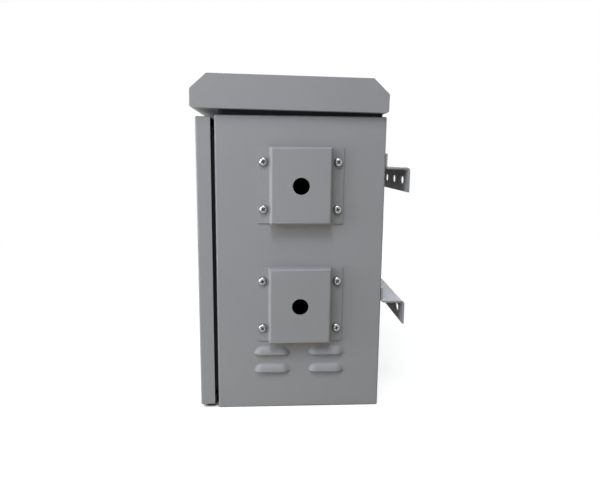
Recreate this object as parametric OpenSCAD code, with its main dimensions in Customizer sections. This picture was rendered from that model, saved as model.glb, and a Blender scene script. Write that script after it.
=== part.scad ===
// Outdoor equipment cabinet of folded sheet steel: rain hood, side-hung door with a quarter-turn
// lock, two side cable-entry covers, pressed louvres and two slotted pole or wall brackets.
// Millimetres, +Z up. Door at -Y, brackets at +Y, origin in the middle of the underside.

/* [Body] */
// Width of the body
body_w = 300; // [280:1:420]
// Depth of the body without the door
body_d = 224; // [200:1:320]
// Height of the body
body_h = 400; // [370:1:560]
// Sheet thickness of body and door
sheet_t = 1.5; // [1:0.1:2]
// Outer bend radius of body and door
bend_r = 2.5; // [2.2:0.1:4]
// Width of the front rim
rim_w = 20; // [19:0.5:26]
// Height of the lip that stands forward from the rim
lip_h = 12; // [8:0.5:13]

/* [Door] */
// Gap between body and door
door_gap = 5; // [4:0.5:8]
// Depth of the door's folded edge
door_depth = 19.5; // [18:0.5:28]
// Height of the door's lower edge above the underside
door_rise = 4.5; // [2:0.5:10]
// Distance of the door's upper edge below the roof
door_drop = 2.2; // [1:0.1:8]

/* [Door seal] */
// Wall of the seal's clip on each side of the lip
seal_wall = 2; // [1.5:0.1:2.5]
// Depth of the clip over the lip
seal_grip = 9.5; // [6:0.5:10]
// Radius of the seal's bulb
bulb_r = 3.6; // [3:0.1:4]
// Distance left between the closed door and the bulb
bulb_clear = 0.3; // [0.2:0.1:0.6]

/* [Hood] */
// Overhang past the body's sides
hood_side = 8; // [5:0.5:20]
// Overhang past the front of the door
hood_front = 5.2; // [3:0.1:30]
// Overhang past the rear wall
hood_rear = 0.5; // [0:0.1:20]
// Height of the hood
hood_h = 42.4; // [34:0.2:70]
// Height of the upright skirt
hood_skirt = 23.2; // [14:0.2:30]
// Run of the sloping edge
hood_slope = 21; // [12:0.5:40]
// Sheet thickness of the hood
hood_t = 1.2; // [1:0.1:2]
// Outer bend radius of the hood
hood_bend = 3; // [2.2:0.1:5]
// Gap between hood and roof at the rear
hood_gap = 4.3; // [3:0.1:10]
// Fall of the hood towards the rear, in degrees
hood_tilt = 0.8; // [0:0.1:2]
// Distance of the foam seal inside the body's faces
foam_inset = 4; // [3:0.5:12]
// Width of the foam seal
foam_w = 14; // [12:0.5:20]

/* [Cable covers] */
// Width of the upper cover's raised box
upper_box_w = 80; // [66:1:96]
// Width of the lower cover's raised box
lower_box_w = 83; // [66:1:96]
// Width of each screw flange beside the box
cover_flange = 16.5; // [16:0.5:24]
// Height of the upper cover
upper_cover_h = 100; // [90:0.5:120]
// Height of the lower cover
lower_cover_h = 103.5; // [90:0.5:120]
// Height of the raised box over the side wall
cover_depth = 15; // [12:0.5:30]
// Sheet thickness of a cover
cover_t = 1.5; // [1:0.1:2]
// Outer bend radius of a cover
cover_bend = 3.6; // [2.2:0.1:4]
// Diameter of the cable hole
cable_hole_d = 22; // [16:0.5:40]
// Distance of the upper cover's centre below the roof
upper_cover_drop = 90; // [75:1:100]
// Share of the free height between upper cover and louvres that lies below the lower cover
lower_cover_share = 0.13; // [0.1:0.01:0.6]
// Width of the entry in the side wall behind a cover
entry_w = 56; // [40:1:60]
// Height of the entry in the side wall behind a cover
entry_h = 70; // [40:1:76]
// Distance of the cover screws from the flange's outer edge
cover_screw_edge = 7.5; // [6.5:0.5:8]
// Distance of the cover screws from the cover's upper and lower edges
cover_screw_end = 19; // [12:0.5:24]

/* [Louvres] */
// Length of a louvre
louvre_l = 48; // [40:1:56]
// Height of a louvre
louvre_h = 10.5; // [8:0.5:12]
// Bulge of a louvre out of the wall
louvre_out = 4.8; // [3.5:0.1:6]
// Sheet thickness of the pressed louvre
louvre_t = 1.2; // [0.8:0.1:1.4]
// Distance between louvres along the depth
louvre_pitch_y = 75; // [66:1:80]
// Distance between louvres along the height
louvre_pitch_z = 25; // [20:0.5:26]
// Height of the open edge of the lowest louvres, in the right wall
louvre_z = 53; // [48:0.5:56]
// Distance of the open edge of the highest louvres, in the left wall, below the roof
louvre_drop = 45; // [36:0.5:70]
// Thickness of the insect screens behind the louvres
screen_t = 0.8; // [0.5:0.1:1.5]
// Diameter of a hole in the screens
screen_hole_d = 4.5; // [3:0.1:5]
// Distance between holes in the screens
screen_pitch = 8; // [7:0.5:10]
// Width of the screens' plain border
screen_border = 6; // [4:0.5:8]

/* [Brackets] */
// Sheet thickness of a bracket
bracket_t = 2.5; // [2:0.1:4]
// Outer bend radius of a bracket
bracket_bend = 5; // [4.2:0.1:6]
// Height of the flange that is bolted to the rear wall
bracket_up = 18; // [15:0.5:30]
// Distance of the outer face behind the rear wall
bracket_reach = 33.5; // [24:0.5:60]
// Height of the slotted outer flange
bracket_down = 33; // [30:0.5:50]
// Distance of the upper bracket's web below the roof
upper_bracket_drop = 65; // [40:0.5:90]
// Height of the lower bracket's web
lower_bracket_z = 152.5; // [130:0.5:190]
// Length of a bracket's slot
slot_l = 18; // [12:0.5:24]
// Width of a bracket's slot
slot_w = 9.6; // [8:0.1:12]
// Distance between slots
slot_pitch = 46.5; // [40:0.5:52]
// Number of slots in a bracket
slot_count = 6; // [2:2:6]
// Distance of the slots' centre line below the web
slot_drop = 17.5; // [16:0.5:22]
// Distance of a bracket's bolts from the side walls
bracket_bolt_inset = 50; // [40:1:80]

/* [Mounting plate] */
// Thickness of the mounting plate
plate_t = 2; // [1.5:0.1:3]
// Distance of the plate from the side walls
plate_side = 24; // [20:1:40]
// Distance of the plate from floor and roof
plate_end = 30; // [24:1:50]
// Distance of the plate from the rear wall
plate_off = 18; // [15:0.5:30]
// Corner radius of the plate
plate_corner = 6; // [2:0.5:10]
// Distance of the plate's studs from its edges
plate_stud_inset = 15; // [12:0.5:25]

/* [Hinges] */
// Distance of each hinge from the door's upper and lower edges
hinge_inset = 70; // [50:1:100]
// Length of one knuckle
knuckle_l = 28; // [20:1:40]
// Radius of a knuckle
knuckle_r = 4.5; // [4:0.1:6]
// Radius of the hinge pin
pin_r = 2.5; // [2:0.1:3]
// Radial clearance of the turning knuckle on the pin
pin_clear = 0.06; // [0.02:0.01:0.1]
// Thickness of a hinge leaf
leaf_t = 2; // [1.5:0.1:2.5]
// Width of the leaf on the body
frame_leaf_w = 28; // [26:1:40]
// Distance of the body leaf's first screw from the hinge axis
leaf_screw_first = 12.5; // [12:0.5:13]
// Distance between the two screws of a leaf
leaf_screw_pitch = 10; // [9:0.5:10]
// Thickness of the washer between the knuckles
hinge_washer_t = 1; // [0.6:0.1:2]
// End clearance on each side of that washer
hinge_end_clear = 0.2; // [0.1:0.1:0.4]

/* [Lock] */
// Distance of the lock from the rim's lip
lock_inset = 28; // [24:1:40]
// Radius of the lock's face
lock_face_r = 14; // [12:0.5:16]
// Height of the lock's face over the door
lock_face_h = 3; // [2:0.5:4]
// Radius of the lock's barrel
barrel_r = 10; // [9:0.5:11]
// Radius of the turning plug
plug_r = 6; // [5:0.1:7]
// Radial clearance of the plug in the barrel
plug_clear = 0.06; // [0.02:0.01:0.1]
// Width of the plug's square end
plug_square = 7.2; // [6:0.1:7.6]
// Length of the key slot
key_slot_l = 8; // [6:0.5:9]
// Width of the key slot
key_slot_w = 2; // [1.5:0.1:2.5]
// Depth of the key slot
key_slot_depth = 12; // [8:1:16]
// Thickness of the cam
cam_t = 3; // [2:0.1:4]
// Width of the cam
cam_w = 16; // [14:0.5:20]
// Overlap of the turned cam behind the rim
cam_hold = 10; // [6:0.5:12]
// Distance between the cam and the rear of the rim
cam_clear = 0.4; // [0.3:0.1:1]

/* [Fasteners] */
// Thread diameter of screws, bolts and studs
bolt_d = 6; // [5:0.5:6]
// Width across flats of bolt heads and nuts
bolt_af = 10; // [9:0.5:11]
// Height of a hexagon bolt head
bolt_head_h = 4; // [3:0.1:5]
// Height of a nut
nut_h = 5; // [4:0.1:6]
// Diameter of a plain washer
washer_d = 12; // [11:0.5:14]
// Thickness of a plain washer
washer_t = 1.2; // [0.8:0.1:2]
// Head diameter of the cover screws
pan_d = 12; // [10:0.5:12.5]
// Head height of the cover screws
pan_h = 4.6; // [3:0.1:5]
// Thread diameter of the hinge screws
small_d = 4; // [3:0.5:4]
// Head diameter of the hinge screws
small_pan_d = 7; // [6:0.5:7.5]
// Head height of the hinge screws
small_pan_h = 2.4; // [2:0.1:2.6]
// Width across flats of the hinge screws' nuts
small_af = 7; // [6:0.5:7]
// Height of the hinge screws' nuts
small_nut_h = 3; // [2.4:0.1:3.2]
// Radial clearance of a bolt in its hole
bolt_clear = 0.3; // [0.2:0.1:0.6]
// Radial clearance of a thread in its nut
thread_clear = 0.05; // [0.02:0.01:0.1]

/* [Hidden] */
$fn = 64;

paint = [0.56, 0.565, 0.58];
zinc = [0.72, 0.73, 0.74];
galvanised = [0.66, 0.68, 0.7];
black_rubber = [0.06, 0.06, 0.065];
brass = [0.72, 0.58, 0.32];

// A cut runs this far past the face it opens
over = 1;
// A bend's circle stands this far out of slanting faces, so that they cross and don't just touch
bend_ease = 0.005;

// Faces of the body
side_x = body_w / 2;
front_y = -body_d / 2;
rear_y = body_d / 2;
inner_x = side_x - sheet_t;
inner_rear_y = rear_y - sheet_t;
rim_back_y = front_y + sheet_t;

// Lip on the rim: outer faces
lip_x = side_x - rim_w;
lip_low_z = rim_w;
lip_high_z = body_h - rim_w;
lip_front_y = front_y - lip_h;
lip_mid_w = 2 * lip_x - sheet_t;
lip_mid_h = lip_high_z - lip_low_z - sheet_t;

// Door
door_back_y = front_y - door_gap;
door_front_y = door_back_y - door_depth;
door_inner_y = door_front_y + sheet_t;
door_low_z = door_rise;
door_high_z = body_h - door_drop;
door_height = door_high_z - door_low_z;
door_mid_z = (door_low_z + door_high_z) / 2;
bulb_y = door_inner_y + bulb_clear + bulb_r;

// Hood, in a frame of its own whose origin is the rear lower edge
hood_y1 = rear_y + hood_rear;
hood_y0 = door_front_y - hood_front;
hood_z0 = body_h + hood_gap;
hood_x = side_x + hood_side;
hood_len = (hood_y1 - hood_y0) / cos(hood_tilt);
foam_out_x = side_x - foam_inset;
foam_out_y = rear_y - foam_inset;
foam_in_x = foam_out_x - foam_w;
foam_in_y = foam_out_y - foam_w;
foam_corner = foam_w / 2;
hood_bolt_x = foam_in_x + foam_w / 2;
hood_bolt_y = foam_in_y + foam_w / 2;

// Bolts and nuts
bolt_r = bolt_d / 2;
hole_r = bolt_r + bolt_clear;
nut_bore_r = bolt_r + thread_clear;
small_r = small_d / 2;
small_hole_r = small_r + bolt_clear;
bolt_past_nut = bolt_r / 2;

// Pan heads: dome radius and cross recess as shares of the head's radius and height
pan_dome_share = 1.7;
cross_l_share = 1.15;
cross_w_share = 0.24;
cross_depth_share = 0.5;

// Covers as [height of the middle, width of the box, height]: the lower one lies between the
// upper one and the louvres
upper_cover_z = body_h - upper_cover_drop;
louvres_top_z = louvre_z + louvre_pitch_z + louvre_h;
lower_cover_play = upper_cover_z - upper_cover_h / 2 - louvres_top_z - lower_cover_h;
lower_cover_z = louvres_top_z + lower_cover_h / 2 + lower_cover_share * lower_cover_play;
upper_cover = [upper_cover_z, upper_box_w, upper_cover_h];
lower_cover = [lower_cover_z, lower_box_w, lower_cover_h];
covers = [upper_cover, lower_cover];
cover_screw_len = cover_t + sheet_t + nut_h + bolt_past_nut;
entry_corner = bolt_d;

// Louvres: caps of a round-ended bar whose axis lies behind the wall
louvre_r = (louvre_h * louvre_h + louvre_out * louvre_out) / (2 * louvre_out);
louvre_axis_x = side_x + louvre_out - louvre_r;
louvre_straight = louvre_l - 2 * louvre_h;
louvre_ys = [-louvre_pitch_y / 2, louvre_pitch_y / 2];
right_louvre_zs = [louvre_z, louvre_z + louvre_pitch_z];
left_louvre_zs = [body_h - louvre_drop - louvre_pitch_z, body_h - louvre_drop];

// Insect screens
screen_cols = floor((louvre_pitch_y + louvre_l) / screen_pitch) + 1;
screen_rows = floor((louvre_pitch_z + louvre_h) / screen_pitch) + 1;
screen_w = (screen_cols - 1) * screen_pitch + screen_hole_d + 2 * screen_border;
screen_h = (screen_rows - 1) * screen_pitch + screen_hole_d + 2 * screen_border;
right_screen_z = (louvre_z + louvres_top_z) / 2;
left_screen_z = body_h - louvre_drop + (louvre_h - louvre_pitch_z) / 2;

// Brackets
upper_bracket_z = body_h - upper_bracket_drop;
bracket_zs = [upper_bracket_z, lower_bracket_z];
bracket_out_y = rear_y + bracket_reach;
bracket_bolt_x = side_x - bracket_bolt_inset;
bracket_bolt_rise = (bracket_up + bracket_bend) / 2;

// Mounting plate
plate_w = 2 * (inner_x - plate_side);
plate_low_z = sheet_t + plate_end;
plate_high_z = body_h - sheet_t - plate_end;
plate_mid_z = (plate_low_z + plate_high_z) / 2;
plate_height = plate_high_z - plate_low_z;
plate_back_y = inner_rear_y - plate_off;
plate_front_y = plate_back_y - plate_t;
plate_stud_x = plate_w / 2 - plate_stud_inset;
plate_stud_dz = plate_height / 2 - plate_stud_inset;

// Hinges: axis just outside the left wall, in the middle of the door gap
hinge_x = -side_x - knuckle_r;
hinge_y = front_y - door_gap / 2;
hinge_zs = [door_high_z - hinge_inset, door_low_z + hinge_inset];
door_leaf_w = door_depth + door_gap / 2 - bend_r;
frame_screw_ys = [hinge_y + leaf_screw_first, hinge_y + leaf_screw_first + leaf_screw_pitch];
door_screw_y = door_back_y - door_depth / 2;
pin_grip_clear = pin_clear / 3;

// Lock
lock_x = lip_x - lock_inset;
lock_z = door_mid_z;
cam_front_y = rim_back_y + cam_clear;
cam_back_y = cam_front_y + cam_t;
barrel_back_y = cam_front_y - cam_clear;
cam_reach = lock_inset + cam_hold;
lock_edge_h = lock_face_h / 2;
lock_dome_r = (lock_face_r * lock_face_r + lock_edge_h * lock_edge_h) / (2 * lock_edge_h);
lock_nut_h = nut_h;
lock_nut_af = 2 * lock_face_r - lock_face_h;

// Earth stud on the floor
earth_x = -side_x / 2;
earth_y = front_y / 2;
earth_len = 4 * bolt_d;

// Rectangle about the origin with round corners
module rounded_rect(w, h, r) {
    square([w - 2 * r, h], center = true);
    square([w, h - 2 * r], center = true);
    for (sx = [-1, 1], sy = [-1, 1])
        translate([sx * (w / 2 - r), sy * (h / 2 - r)])
            circle(r = r);
}

// Slot about the origin, long along its first axis
module slot_2d(length, width) {
    square([length - width, width], center = true);
    for (s = [-1, 1])
        translate([s * (length - width) / 2, 0])
            circle(d = width);
}

// Prism along X from a profile of depth and height
module prism_x(length) {
    rotate([90, 0, 90])
        linear_extrude(height = length, center = true)
            children();
}

// Prism along Y from a profile of width and height
module prism_y(length) {
    rotate([90, 0, 0])
        linear_extrude(height = length, center = true)
            children();
}

// Prism along Z from a profile of width and depth
module prism_z(length) {
    linear_extrude(height = length, center = true)
        children();
}

// Box about the origin with every edge bent to one radius
module bent_box(w, d, h, r) {
    intersection() {
        prism_y(d)
            rounded_rect(w, h, r);
        prism_x(w)
            rounded_rect(d, h, r);
        prism_z(h)
            rounded_rect(w, d, r);
    }
}

function unit(v) = v / norm(v);
function left_of(d) = [-d[1], d[0]];
function cross_2d(a, b) = a[0] * b[1] - a[1] * b[0];
function direction(path, i) = unit(path[i + 1] - path[i]);
function turn(path, i) = acos(direction(path, i - 1) * direction(path, i));
function is_left(path, i) = cross_2d(direction(path, i - 1), direction(path, i)) > 0;
function face_r(path, i, t, r) = is_left(path, i) ? r : r - t;
function setback(path, i, t, r) =
    (i == 0 || i == len(path) - 1) ? 0 : face_r(path, i, t, r) * tan(turn(path, i) / 2);

// Section of a folded sheet: the path is one face, the sheet lies to its left
module folded_sheet(path, t, r) {
    for (i = [0 : len(path) - 2]) {
        d = direction(path, i);
        a = path[i] + d * setback(path, i, t, r);
        b = path[i + 1] - d * setback(path, i + 1, t, r);
        polygon([a, b, b + left_of(d) * t, a + left_of(d) * t]);
    }
    for (i = [1 : len(path) - 2]) {
        side = is_left(path, i) ? 1 : -1;
        n0 = left_of(direction(path, i - 1)) * side;
        n1 = left_of(direction(path, i)) * side;
        tangent = path[i] - direction(path, i - 1) * setback(path, i, t, r);
        centre = tangent + n0 * face_r(path, i, t, r);
        intersection() {
            translate(centre)
                difference() {
                    circle(r = r);
                    circle(r = r - t);
                }
            polygon([centre, centre - n0 * 2 * r, centre - (n0 + n1) * 2 * r, centre - n1 * 2 * r]);
        }
    }
}

// Face of a sheet bent round a counter-clockwise outline, or the face that far inside it
module bent_outline(points, r, inset) {
    n = len(points);
    normals = [for (i = [0 : n - 1]) left_of(unit(points[(i + 1) % n] - points[i]))];
    function before(i) = normals[(i + n - 1) % n];
    centres = [
        for (i = [0 : n - 1])
            points[i] + (before(i) + normals[i]) * r / (1 + before(i) * normals[i])
    ];
    polygon([
        for (i = [0 : n - 1], inwards = [before(i), normals[i]])
            centres[i] - inwards * (r - inset)
    ]);
    for (c = centres)
        translate(c)
            circle(r = r - inset + bend_ease);
}

// Four mitred sides of a frame in the X-Z plane; the profile's first axis points outwards
module mitred_frame(w, h, margin) {
    for (s = [0, 1])
        mirror([s, 0, 0])
            intersection() {
                translate([w / 2, 0, 0])
                    prism_z(h + 2 * margin)
                        children();
                prism_y(2 * body_d)
                    mitred_end(w / 2, h / 2, margin);
            }
    for (s = [0, 1])
        mirror([0, 0, s])
            intersection() {
                translate([0, 0, h / 2])
                    rotate([0, -90, 0])
                        prism_z(w + 2 * margin)
                            children();
                prism_y(2 * body_d)
                    mirror([1, -1, 0])
                        mitred_end(h / 2, w / 2, margin);
            }
}

// Strip along one side of a frame with its ends cut at 45 degrees
module mitred_end(x, z, margin) {
    polygon([
        [x - margin, z - margin],
        [x + margin, z + margin],
        [x + margin, -z - margin],
        [x - margin, -z + margin]
    ]);
}

// Hexagon bolt with its head under z = 0 and its shank pointing up
module hex_bolt(length) {
    translate([0, 0, -bolt_head_h])
        cylinder(r = bolt_af / 2 / cos(30), h = bolt_head_h, $fn = 6);
    cylinder(r = bolt_r, h = length);
}

// Hexagon nut standing on z = 0
module hex_nut(af, height, bore_r) {
    difference() {
        cylinder(r = af / 2 / cos(30), h = height, $fn = 6);
        translate([0, 0, -over])
            cylinder(r = bore_r, h = height + 2 * over);
    }
}

// Ring standing on z = 0
module ring(outer_r, inner_r, height) {
    difference() {
        cylinder(r = outer_r, h = height);
        translate([0, 0, -over])
            cylinder(r = inner_r, h = height + 2 * over);
    }
}

// Pan-head screw with a cross recess: head over z = 0, shank pointing down
module pan_screw(thread_r, length, head_r, head_h) {
    dome_r = pan_dome_share * head_r;
    recess_l = cross_l_share * head_r;
    recess_w = cross_w_share * head_r;
    recess_depth = cross_depth_share * head_h;
    difference() {
        rotate_extrude()
            intersection() {
                translate([0, head_h - dome_r])
                    circle(r = dome_r);
                square([head_r, head_h]);
            }
        for (a = [0, 90])
            rotate([0, 0, a])
                translate([-recess_l / 2, -recess_w / 2, head_h - recess_depth])
                    cube([recess_l, recess_w, head_h]);
    }
    translate([0, 0, -length])
        cylinder(r = thread_r, h = length);
}

// Round-ended bar along Y, its middle at the origin
module round_bar(straight, r) {
    rotate([90, 0, 0])
        rotate_extrude() {
            translate([0, -straight / 2])
                square([r, straight]);
            for (s = [-1, 1])
                intersection() {
                    translate([0, s * straight / 2])
                        circle(r = r);
                    translate([0, -straight - r])
                        square([r, 2 * (straight + r)]);
                }
        }
}

// Upper half of a round-ended bar outside a plane, for a louvre at one place of the right wall
module louvre_cap(y, z, r, from_x) {
    intersection() {
        translate([louvre_axis_x, y, z])
            round_bar(louvre_straight, r);
        translate([from_x, y - louvre_l, z])
            cube([2 * louvre_r, 2 * louvre_l, 2 * louvre_r]);
    }
}

// Every louvre: air comes in low on the right and leaves high on the left
module louvre_caps(r, from_x) {
    for (y = louvre_ys, z = right_louvre_zs)
        louvre_cap(y, z, r, from_x);
    mirror([1, 0, 0])
        for (y = louvre_ys, z = left_louvre_zs)
            louvre_cap(y, z, r, from_x);
}

// Places of the four screws of each cover in the list, pointing out of the right wall
module at_cover_screws(list, x) {
    for (c = list, sy = [-1, 1], sz = [-1, 1])
        translate([
            x,
            sy * (c[1] / 2 + cover_flange - cover_screw_edge),
            c[0] + sz * (c[2] / 2 - cover_screw_end)
        ])
            rotate([0, 90, 0])
                children();
}

// Places of the hood's four bolts, pointing up
module at_hood_bolts() {
    for (sx = [-1, 1], sy = [-1, 1])
        translate([sx * hood_bolt_x, sy * hood_bolt_y, 0])
            children();
}

// Places of the brackets' bolts, pointing out of the rear wall
module at_bracket_bolts(zs, y) {
    for (z = zs, sx = [-1, 1])
        translate([sx * bracket_bolt_x, y, z + bracket_bolt_rise])
            rotate([-90, 0, 0])
                children();
}

// Places of the mounting plate's studs, pointing forwards
module at_plate_studs(y) {
    for (sx = [-1, 1], sz = [-1, 1])
        translate([sx * plate_stud_x, y, plate_mid_z + sz * plate_stud_dz])
            rotate([90, 0, 0])
                children();
}

// Places of the frame leaf's screws at the hinge heights given, pointing out of the left wall
module at_frame_screws(zs, x) {
    for (z = zs, y = frame_screw_ys)
        translate([x, y, z - knuckle_l / 2])
            rotate([0, -90, 0])
                children();
}

// Places of the door leaf's screws at the hinge heights given, pointing out of the left wall
module at_door_screws(zs, x) {
    for (z = zs, s = [-1, 1])
        translate([x, door_screw_y, z + (knuckle_l + s * leaf_screw_pitch) / 2])
            rotate([0, -90, 0])
                children();
}

// The hood's own frame
module hood_place() {
    translate([0, hood_y1, hood_z0])
        rotate([-hood_tilt, 0, 0])
            children();
}

// Welded body with a front rim, side entries and pressed louvres
module body_shell() {
    color(paint)
        difference() {
            union() {
                body_walls();
                louvre_caps(louvre_r, side_x - sheet_t / 2);
            }
            louvre_caps(louvre_r - louvre_t, side_x - sheet_t - over);
            for (c = covers)
                translate([side_x, 0, c[0]])
                    prism_x(4 * sheet_t)
                        rounded_rect(entry_w, entry_h, entry_corner);
            at_cover_screws(covers, inner_x - over)
                cylinder(r = hole_r, h = sheet_t + 2 * over);
            at_hood_bolts()
                translate([0, 0, body_h - sheet_t - over])
                    cylinder(r = hole_r, h = sheet_t + 2 * over);
            at_bracket_bolts(bracket_zs, inner_rear_y - over)
                cylinder(r = hole_r, h = sheet_t + 2 * over);
            at_frame_screws(hinge_zs, -inner_x + over)
                cylinder(r = small_hole_r, h = sheet_t + 2 * over);
        }
}

// Plain walls, rim and lip of the body
module body_walls() {
    difference() {
        translate([0, 0, body_h / 2])
            bent_box(body_w, body_d, body_h, bend_r);
        translate([0, 0, body_h / 2])
            bent_box(
                body_w - 2 * sheet_t, body_d - 2 * sheet_t, body_h - 2 * sheet_t, bend_r - sheet_t
            );
        translate([0, front_y, body_h / 2])
            cube([2 * lip_x - sheet_t, 4 * sheet_t, lip_high_z - lip_low_z - sheet_t], center = true);
    }
    translate([0, (lip_front_y + rim_back_y) / 2, body_h / 2])
        prism_y(rim_back_y - lip_front_y)
            difference() {
                square([2 * lip_x, lip_high_z - lip_low_z], center = true);
                square([2 * (lip_x - sheet_t), lip_high_z - lip_low_z - 2 * sheet_t], center = true);
            }
}

// Folded hood with welded flat ends and a bottom lip all round
module hood() {
    outline = [
        [0, 0],
        [0, hood_skirt],
        [-hood_slope, hood_h],
        [-hood_len + hood_slope, hood_h],
        [-hood_len, hood_skirt],
        [-hood_len, 0]
    ];
    color(paint)
        difference() {
            hood_place()
                difference() {
                    prism_x(2 * hood_x)
                        bent_outline(outline, hood_bend, 0);
                    prism_x(2 * (hood_x - hood_t))
                        bent_outline(outline, hood_bend, hood_t);
                    translate([0, foam_in_y - hood_y1, 0])
                        mirror([0, 1, 0])
                            translate([-foam_in_x, 0, -over])
                                cube([2 * foam_in_x, 2 * foam_in_y, hood_t + 2 * over]);
                }
            at_hood_bolts()
                translate([0, 0, body_h])
                    cylinder(r = hole_r, h = hood_h / 2);
        }
}

// Foam ring between roof and hood, thicker at the front where the hood stands higher
module hood_seal() {
    color(black_rubber)
        difference() {
            intersection() {
                translate([0, 0, body_h + hood_h / 2])
                    prism_z(hood_h)
                        difference() {
                            rounded_rect(2 * foam_out_x, 2 * foam_out_y, foam_corner);
                            square([2 * foam_in_x, 2 * foam_in_y], center = true);
                        }
                hood_place()
                    translate([-hood_x, -hood_len, -hood_h])
                        cube([2 * hood_x, hood_len, hood_h]);
            }
            at_hood_bolts()
                translate([0, 0, body_h - over])
                    cylinder(r = hole_r, h = hood_h);
        }
}

// Bolts from inside the cabinet up into the hood
module hood_bolts() {
    color(zinc)
        at_hood_bolts()
            translate([0, 0, body_h - sheet_t])
                hex_bolt(sheet_t + hood_gap + hood_len * sin(hood_tilt) + hood_t + nut_h);
}

// Nuts welded on the hood's lip
module hood_weld_nuts() {
    color(zinc)
        hood_place()
            for (sx = [-1, 1], sy = [-1, 1])
                translate([sx * hood_bolt_x, (sy * hood_bolt_y - hood_y1) / cos(hood_tilt), hood_t])
                    hex_nut(bolt_af, nut_h, nut_bore_r + thread_clear);
}

// Folded cover with a raised box, a cable hole and two screw flanges
module cable_cover(cover) {
    box_w = cover[1];
    cover_h = cover[2];
    wall_y = box_w / 2 - cover_t;
    edge_y = box_w / 2 + cover_flange;
    color(paint)
        difference() {
            translate([side_x, 0, cover[0]])
                intersection() {
                    union() {
                        prism_z(cover_h)
                            folded_sheet([
                                [0, edge_y],
                                [0, wall_y],
                                [cover_depth - cover_t, wall_y],
                                [cover_depth - cover_t, -wall_y],
                                [0, -wall_y],
                                [0, -edge_y]
                            ], cover_t, cover_bend);
                        for (s = [-1, 1])
                            translate([0, 0, s * (cover_h - cover_t) / 2])
                                prism_z(cover_t)
                                    intersection() {
                                        rounded_rect(2 * cover_depth, box_w, cover_bend);
                                        translate([0, -box_w / 2])
                                            square([cover_depth, box_w]);
                                    }
                    }
                    prism_y(4 * edge_y)
                        rounded_rect(2 * cover_depth, cover_h, cover_bend);
                }
            translate([side_x, 0, cover[0]])
                rotate([0, 90, 0])
                    cylinder(d = cable_hole_d, h = 2 * cover_depth);
            at_cover_screws([cover], side_x - over)
                cylinder(r = hole_r, h = cover_t + 2 * over);
        }
}

module upper_cable_cover() {
    cable_cover(upper_cover);
}

module lower_cable_cover() {
    cable_cover(lower_cover);
}

// Four pan-head screws of one cover
module cover_screws(cover) {
    color(zinc)
        at_cover_screws([cover], side_x + cover_t)
            pan_screw(bolt_r, cover_screw_len, pan_d / 2, pan_h);
}

module upper_cover_screws() {
    cover_screws(upper_cover);
}

module lower_cover_screws() {
    cover_screws(lower_cover);
}

// Nuts welded inside the side wall for the cover screws
module cover_weld_nuts() {
    color(zinc)
        at_cover_screws(covers, inner_x - nut_h)
            hex_nut(bolt_af, nut_h, nut_bore_r);
}

// Z-shaped bracket across the rear wall with a row of slots
module bracket(z) {
    path = [
        [rear_y, z + bracket_up],
        [rear_y, z - bracket_t],
        [bracket_out_y - bracket_t, z - bracket_t],
        [bracket_out_y - bracket_t, z - bracket_down]
    ];
    color(paint)
        difference() {
            prism_x(body_w)
                folded_sheet(path, bracket_t, bracket_bend);
            for (i = [0 : slot_count - 1])
                translate([
                    (i - (slot_count - 1) / 2) * slot_pitch, bracket_out_y - bracket_t / 2, z - slot_drop
                ])
                    prism_y(2 * bracket_t)
                        slot_2d(slot_l, slot_w);
            at_bracket_bolts([z], rear_y - over)
                cylinder(r = hole_r, h = bracket_t + 2 * over);
        }
}

module upper_bracket() {
    bracket(upper_bracket_z);
}

module lower_bracket() {
    bracket(lower_bracket_z);
}

// Bolts that hold the brackets, heads outside
module bracket_bolts() {
    color(zinc)
        at_bracket_bolts(bracket_zs, rear_y + bracket_t)
            mirror([0, 0, 1])
                hex_bolt(bracket_t + sheet_t + washer_t + nut_h + bolt_past_nut);
}

// Washers inside the rear wall
module bracket_washers() {
    color(zinc)
        at_bracket_bolts(bracket_zs, inner_rear_y - washer_t)
            ring(washer_d / 2, hole_r, washer_t);
}

// Nuts inside the rear wall
module bracket_nuts() {
    color(zinc)
        at_bracket_bolts(bracket_zs, inner_rear_y - washer_t - nut_h)
            hex_nut(bolt_af, nut_h, nut_bore_r);
}

// Flat plate that carries the equipment
module mounting_plate() {
    color(galvanised)
        difference() {
            translate([0, plate_back_y - plate_t / 2, plate_mid_z])
                prism_y(plate_t)
                    rounded_rect(plate_w, plate_height, plate_corner);
            at_plate_studs(plate_back_y + over)
                cylinder(r = hole_r, h = plate_t + 2 * over);
        }
}

// Hexagon spacers welded to the rear wall, each with a thread through the plate
module plate_standoffs() {
    color(zinc)
        at_plate_studs(inner_rear_y) {
            cylinder(r = bolt_af / 2 / cos(30), h = plate_off, $fn = 6);
            cylinder(r = bolt_r, h = plate_off + plate_t + washer_t + nut_h + bolt_past_nut);
        }
}

// Flanged nuts in front of the plate
module plate_nuts() {
    color(zinc)
        at_plate_studs(plate_front_y) {
            ring(washer_d / 2, nut_bore_r, washer_t);
            translate([0, 0, washer_t])
                hex_nut(bolt_af, nut_h, nut_bore_r);
        }
}

// Stud welded to the floor for the earth lead
module earth_stud() {
    color(brass)
        translate([earth_x, earth_y, sheet_t]) {
            cylinder(r = bolt_r + washer_t, h = washer_t);
            cylinder(r = bolt_r, h = earth_len);
        }
}

// Flanged nut and lock nut on the earth stud
module earth_nuts() {
    color(brass)
        translate([earth_x, earth_y, sheet_t + washer_t]) {
            ring(washer_d / 2, nut_bore_r, washer_t);
            translate([0, 0, washer_t])
                hex_nut(bolt_af, nut_h, nut_bore_r);
            translate([0, 0, 2 * washer_t + nut_h])
                hex_nut(bolt_af, nut_h, nut_bore_r);
        }
}

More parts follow.
